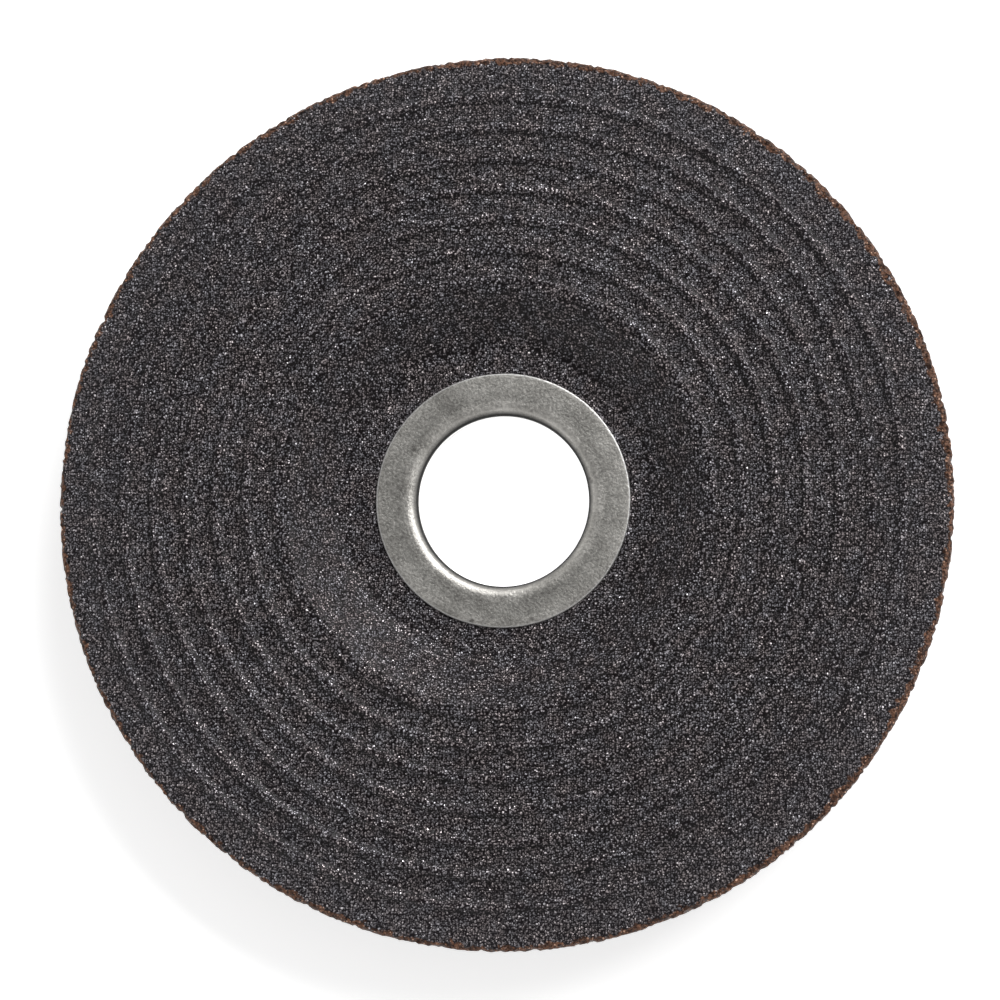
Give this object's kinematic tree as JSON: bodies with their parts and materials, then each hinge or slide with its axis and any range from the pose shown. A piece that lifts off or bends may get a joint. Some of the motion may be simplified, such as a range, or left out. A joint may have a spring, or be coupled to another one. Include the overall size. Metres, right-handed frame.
{
  "type": "grinding disc",
  "caption": "Depressed-centre abrasive grinding disc with concentric ridges on its working face and a pressed steel ring around the bore.",
  "frame": {"origin": "middle of the hub's back face, which the disc rests on", "axes": "+Z along the bore, out of the hollow working side; X and Y are free, as the disc is round"},
  "size_m": [0.115, 0.115, 0.011],
  "materials": {
    "grit": "coarse black abrasive grain in resin",
    "ring_steel": "dull tumbled sheet steel"
  },
  "bodies": {
    "root": {"abrasive_body": "grit", "bore_ring": "ring_steel"}
  },
  "joints": []
}
